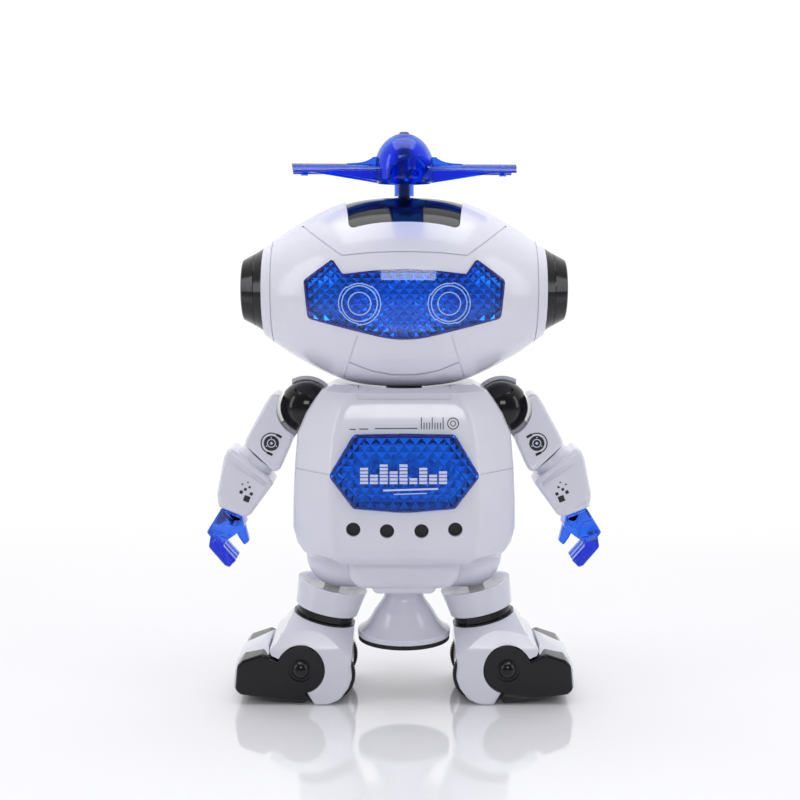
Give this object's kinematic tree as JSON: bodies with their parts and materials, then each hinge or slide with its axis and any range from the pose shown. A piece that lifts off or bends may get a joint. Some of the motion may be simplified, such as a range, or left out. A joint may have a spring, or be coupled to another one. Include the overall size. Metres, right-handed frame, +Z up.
{
  "type": "walking humanoid robot toy",
  "caption": "Battery toy humanoid robot with a wide turning head, spinning propeller, posable arms, wheeled boots on geared legs and a bell-shaped base.",
  "frame": {"origin": "on the floor under the centre of the body, at the middle of the bounding box's bottom face", "axes": "+Z up, the face looks along -Y, the robot's right hand is on -X; names say left for the viewer's left, which is -X"},
  "size_m": [0.1752, 0.0978, 0.25],
  "materials": {
    "white_shell": "gloss",
    "black_gloss": "high gloss",
    "white_trim": "gloss",
    "blue_clear": "clear gloss",
    "blue_reflector": "faceted gloss",
    "black_matte": "satin",
    "rubber": "matte",
    "steel": "brushed",
    "board": "satin",
    "inner_grey": "satin",
    "gear_white": "satin",
    "cell": "gloss",
    "brass": "bright"
  },
  "bodies": {
    "torso": {"torso_front_shell": "white_shell", "torso_rear_shell": "white_shell", "chest_lens": "blue_clear", "chest_reflector": "blue_reflector", "speaker_grille": "black_matte", "speaker": "black_matte", "main_circuit_board": "board", "battery_box": "inner_grey", "battery_cells": "cell", "battery_contacts": "brass", "pelvis_shell": "white_shell", "bell_skirt": "white_shell", "gear_pins": "steel", "drive_motor": "steel", "gearbox_case": "inner_grey", "body_screws": "steel"},
    "head": {"head_front_shell": "white_shell", "head_rear_shell": "white_shell", "visor_lens": "blue_clear", "visor_reflector": "blue_reflector", "head_top_inset": "black_gloss", "ear_caps": "black_gloss", "neck_post": "black_matte", "propeller_spindle": "black_matte", "eye_led_board": "board", "head_screws": "steel"},
    "propeller": {"propeller": "blue_clear"},
    "battery_cover": {"battery_door": "white_shell", "battery_door_screw": "steel"},
    "switch": {"power_switch_knob": "black_matte"},
    "idler_left": {"idler_gear_left": "gear_white"},
    "idler_right": {"idler_gear_right": "gear_white"},
    "base": {"base_disc": "black_matte", "base_rubber_ring": "rubber"},
    "leg_left": {"leg_gear_left": "gear_white", "thigh_cuff_left": "white_shell", "ankle_ring_left": "black_gloss", "boot_front_shell_left": "white_shell", "boot_rear_shell_left": "white_shell", "toe_pivot_pin_left": "black_gloss"},
    "toe_left": {"toe_body_left": "black_gloss", "toe_cover_left": "white_shell"},
    "wheels_left": {"heel_wheels_left": "rubber"},
    "shoulder_left": {"shoulder_ball_left": "black_gloss"},
    "arm_left": {"upper_arm_left": "white_shell"},
    "fore_left": {"forearm_left": "white_shell"},
    "claw_left": {"hand_left": "blue_clear"},
    "leg_right": {"leg_gear_right": "gear_white", "thigh_cuff_right": "white_shell", "ankle_ring_right": "black_gloss", "boot_front_shell_right": "white_shell", "boot_rear_shell_right": "white_shell", "toe_pivot_pin_right": "black_gloss"},
    "toe_right": {"toe_body_right": "black_gloss", "toe_cover_right": "white_shell"},
    "wheels_right": {"heel_wheels_right": "rubber"},
    "shoulder_right": {"shoulder_ball_right": "black_gloss"},
    "arm_right": {"upper_arm_right": "white_shell"},
    "fore_right": {"forearm_right": "white_shell"},
    "claw_right": {"hand_right": "blue_clear"}
  },
  "joints": [
    {"name": "head_turn", "type": "hinge", "parent": "torso", "child": "head", "pos_m": [0, 0, 0.135], "axis": [0, 0, 1], "range_deg": [-45, 45]},
    {"name": "propeller_spin", "type": "hinge", "parent": "head", "child": "propeller", "pos_m": [0, 0, 0.235], "axis": [0, 0, 1], "continuous": true},
    {"name": "battery_door_off", "type": "slide", "parent": "torso", "child": "battery_cover", "axis": [0, 1, 0], "range_m": [0, 0.025]},
    {"name": "power_switch_slide", "type": "slide", "parent": "torso", "child": "switch", "axis": [1, 0, 0], "range_m": [0, 0.0035]},
    {"name": "base_spin", "type": "hinge", "parent": "torso", "child": "base", "pos_m": [0, 0, 0.0247], "axis": [0, 0, 1], "continuous": true},
    {"name": "leg_spread_left", "type": "hinge", "parent": "torso", "child": "leg_left", "pos_m": [-0.0285, 0, 0.064], "axis": [0, 1, 0], "range_deg": [0, 35]},
    {"name": "leg_spread_right", "type": "hinge", "parent": "torso", "child": "leg_right", "pos_m": [0.0285, 0, 0.064], "axis": [0, -1, 0], "range_deg": [0, 35]},
    {"name": "idler_turn_left", "type": "hinge", "parent": "torso", "child": "idler_left", "pos_m": [-0.009, 0, 0.064], "axis": [0, 1, 0], "range_deg": [-42, 1]},
    {"name": "idler_turn_right", "type": "hinge", "parent": "torso", "child": "idler_right", "pos_m": [0.009, 0, 0.064], "axis": [0, 1, 0], "range_deg": [-1, 42]},
    {"name": "arm_swing_left", "type": "hinge", "parent": "torso", "child": "shoulder_left", "pos_m": [-0.0436, 0, 0.1297], "axis": [-1, 0, 0], "range_deg": [-45, 90]},
    {"name": "arm_raise_left", "type": "hinge", "parent": "shoulder_left", "child": "arm_left", "pos_m": [-0.0436, 0, 0.1297], "axis": [0, 1, 0], "range_deg": [0, 30]},
    {"name": "elbow_turn_left", "type": "hinge", "parent": "arm_left", "child": "fore_left", "pos_m": [-0.0639, 0, 0.1079], "axis": [-0.6749, 0, -0.7379], "range_deg": [-90, 90]},
    {"name": "wrist_turn_left", "type": "hinge", "parent": "fore_left", "child": "claw_left", "pos_m": [-0.07625, 0, 0.08385], "axis": [-0.3697, 0, -0.9292], "range_deg": [-90, 90]},
    {"name": "toe_flex_left", "type": "hinge", "parent": "leg_left", "child": "toe_left", "pos_m": [-0.0454, 0, 0.016], "axis": [0, 1, 0], "range_deg": [-3, 3]},
    {"name": "heel_wheel_roll_left", "type": "hinge", "parent": "leg_left", "child": "wheels_left", "pos_m": [-0.0335, 0, 0.0119], "axis": [0, 1, 0], "continuous": true},
    {"name": "arm_swing_right", "type": "hinge", "parent": "torso", "child": "shoulder_right", "pos_m": [0.0436, 0, 0.1297], "axis": [-1, 0, 0], "range_deg": [-45, 90]},
    {"name": "arm_raise_right", "type": "hinge", "parent": "shoulder_right", "child": "arm_right", "pos_m": [0.0436, 0, 0.1297], "axis": [0, -1, 0], "range_deg": [0, 30]},
    {"name": "elbow_turn_right", "type": "hinge", "parent": "arm_right", "child": "fore_right", "pos_m": [0.0639, 0, 0.1079], "axis": [0.6749, 0, -0.7379], "range_deg": [-90, 90]},
    {"name": "wrist_turn_right", "type": "hinge", "parent": "fore_right", "child": "claw_right", "pos_m": [0.07625, 0, 0.08385], "axis": [0.3697, 0, -0.9292], "range_deg": [-90, 90]},
    {"name": "toe_flex_right", "type": "hinge", "parent": "leg_right", "child": "toe_right", "pos_m": [0.0454, 0, 0.016], "axis": [0, 1, 0], "range_deg": [-3, 3]},
    {"name": "heel_wheel_roll_right", "type": "hinge", "parent": "leg_right", "child": "wheels_right", "pos_m": [0.0335, 0, 0.0119], "axis": [0, 1, 0], "continuous": true}
  ],
  "couplings": [
    {"joint": "leg_spread_right", "follows": "leg_spread_left", "ratio": 1},
    {"joint": "idler_turn_left", "follows": "leg_spread_left", "ratio": -1.1667},
    {"joint": "idler_turn_right", "follows": "leg_spread_left", "ratio": 1.1667}
  ]
}
